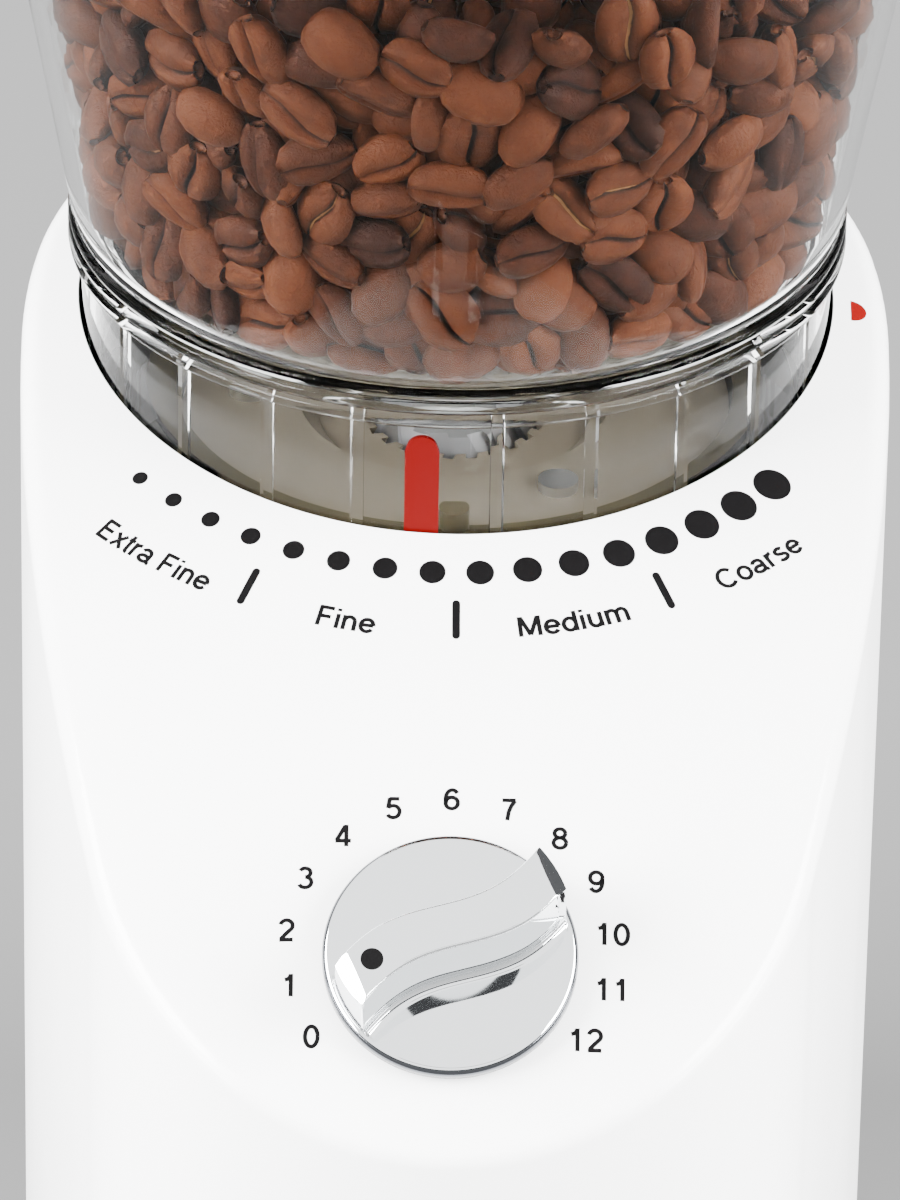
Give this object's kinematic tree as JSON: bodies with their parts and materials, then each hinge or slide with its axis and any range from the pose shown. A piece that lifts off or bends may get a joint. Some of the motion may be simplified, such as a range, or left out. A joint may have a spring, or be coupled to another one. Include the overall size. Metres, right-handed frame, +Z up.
{
  "type": "burr coffee grinder",
  "caption": "Table-top burr coffee grinder with a clear bean hopper that turns to set the grind, a sloping top, a timer knob and a slide-out grounds container.",
  "frame": {"origin": "on the table under the middle of the whole object, at the underside of the feet", "axes": "+Z up, front with the timer knob and the container towards -Y, +X to the right seen from the front"},
  "size_m": [0.1412, 0.21, 0.2854],
  "materials": {
    "white_plastic": "glossy white moulded housing",
    "dark_plastic": "satin black moulded plastic",
    "cream_plastic": "cream moulded plastic",
    "grey_plastic": "grey moulded plastic",
    "gear_nylon": "natural nylon",
    "board_green": "printed circuit board",
    "red_plastic": "red pointer plastic",
    "clear_plastic": "clear moulded plastic",
    "smoke_plastic": "smoke-tinted clear plastic",
    "foot_rubber": "soft black rubber",
    "screw_steel": "zinc-plated steel",
    "shaft_steel": "ground steel",
    "can_steel": "drawn steel and stacked laminations",
    "burr_steel": "hardened steel",
    "magnet_iron": "ferrite and carbon",
    "bush_brass": "sintered bronze, copper and brass",
    "knob_chrome": "bright chrome on plastic"
  },
  "bodies": {
    "housing": {"housing_shell": "white_plastic", "base_plate": "dark_plastic", "base_screws": "screw_steel", "rubber_feet": "foot_rubber", "cord_inlet": "dark_plastic", "container_bay": "dark_plastic", "grind_chamber": "cream_plastic", "chamber_screws": "screw_steel", "grounds_chute": "cream_plastic", "gearbox_case": "grey_plastic", "gearbox_cover": "grey_plastic", "gearbox_screws": "screw_steel", "lower_bush": "bush_brass", "upper_bush": "bush_brass", "idler_pin": "shaft_steel", "motor_can": "can_steel", "motor_cap": "grey_plastic", "motor_magnets": "magnet_iron", "motor_bushes": "bush_brass", "motor_brushes": "magnet_iron", "motor_screws": "screw_steel", "control_board": "board_green", "board_parts": "dark_plastic", "safety_switch": "dark_plastic", "timer_case": "grey_plastic", "timer_screws": "screw_steel"},
    "adjuster": {"adjust_ring": "grey_plastic"},
    "burr_holder": {"burr_carrier": "grey_plastic", "ring_burr": "burr_steel", "carrier_screws": "screw_steel"},
    "hopper": {"hopper_bowl": "clear_plastic", "hopper_pointer": "red_plastic"},
    "lid": {"hopper_lid": "smoke_plastic"},
    "burr_drive": {"burr_shaft": "shaft_steel", "drive_gear": "gear_nylon", "sweeper": "grey_plastic", "cone_burr": "burr_steel", "burr_nut": "screw_steel"},
    "idler": {"idler_gear": "gear_nylon"},
    "rotor": {"motor_shaft": "shaft_steel", "rotor_core": "can_steel", "commutator": "bush_brass", "cooling_fan": "grey_plastic", "motor_pinion": "bush_brass"},
    "timer": {"timer_knob": "knob_chrome", "timer_shaft": "shaft_steel"},
    "container": {"grounds_container": "smoke_plastic", "container_lid": "dark_plastic"},
    "switch_button": {"switch_plunger": "red_plastic"}
  },
  "joints": [
    {"name": "grind_adjust", "type": "hinge", "parent": "housing", "child": "adjuster", "pos_m": [0, 0.03445, 0.168], "axis": [0, 0, 1], "range_deg": [-42, 92.4]},
    {"name": "burr_gap", "type": "slide", "parent": "housing", "child": "burr_holder", "axis": [0, 0, 1], "range_m": [-0.0004, 0.00085]},
    {"name": "hopper_lift", "type": "slide", "parent": "adjuster", "child": "hopper", "axis": [0, 0, 1], "range_m": [0, 0.12]},
    {"name": "lid_lift", "type": "slide", "parent": "hopper", "child": "lid", "axis": [0, 0, 1], "range_m": [0, 0.06]},
    {"name": "burr_spin", "type": "hinge", "parent": "housing", "child": "burr_drive", "pos_m": [0, 0.03445, 0.12], "axis": [0, 0, 1], "continuous": true},
    {"name": "idler_spin", "type": "hinge", "parent": "housing", "child": "idler", "pos_m": [0.0231, 0.04842, 0.11], "axis": [0, 0, 1], "continuous": true},
    {"name": "motor_spin", "type": "hinge", "parent": "housing", "child": "rotor", "pos_m": [0, 0.05945, 0.06], "axis": [0, 0, 1], "continuous": true},
    {"name": "timer_turn", "type": "hinge", "parent": "housing", "child": "timer", "pos_m": [0, -0.08245, 0.14268], "axis": [0, -0.5827, 0.8127], "range_deg": [-247.5, 0]},
    {"name": "container_slide", "type": "slide", "parent": "housing", "child": "container", "axis": [0, -1, 0], "range_m": [0, 0.14]},
    {"name": "switch_press", "type": "slide", "parent": "housing", "child": "switch_button", "axis": [0, 0, -1], "range_m": [0, 0.002], "stiffness_N_per_m": 60, "springref_m": -0.001}
  ],
  "couplings": [
    {"joint": "burr_gap", "follows": "grind_adjust", "m_per_rad": 0.0005},
    {"joint": "idler_spin", "follows": "burr_spin", "ratio": -3.5},
    {"joint": "motor_spin", "follows": "burr_spin", "ratio": 12.5}
  ]
}
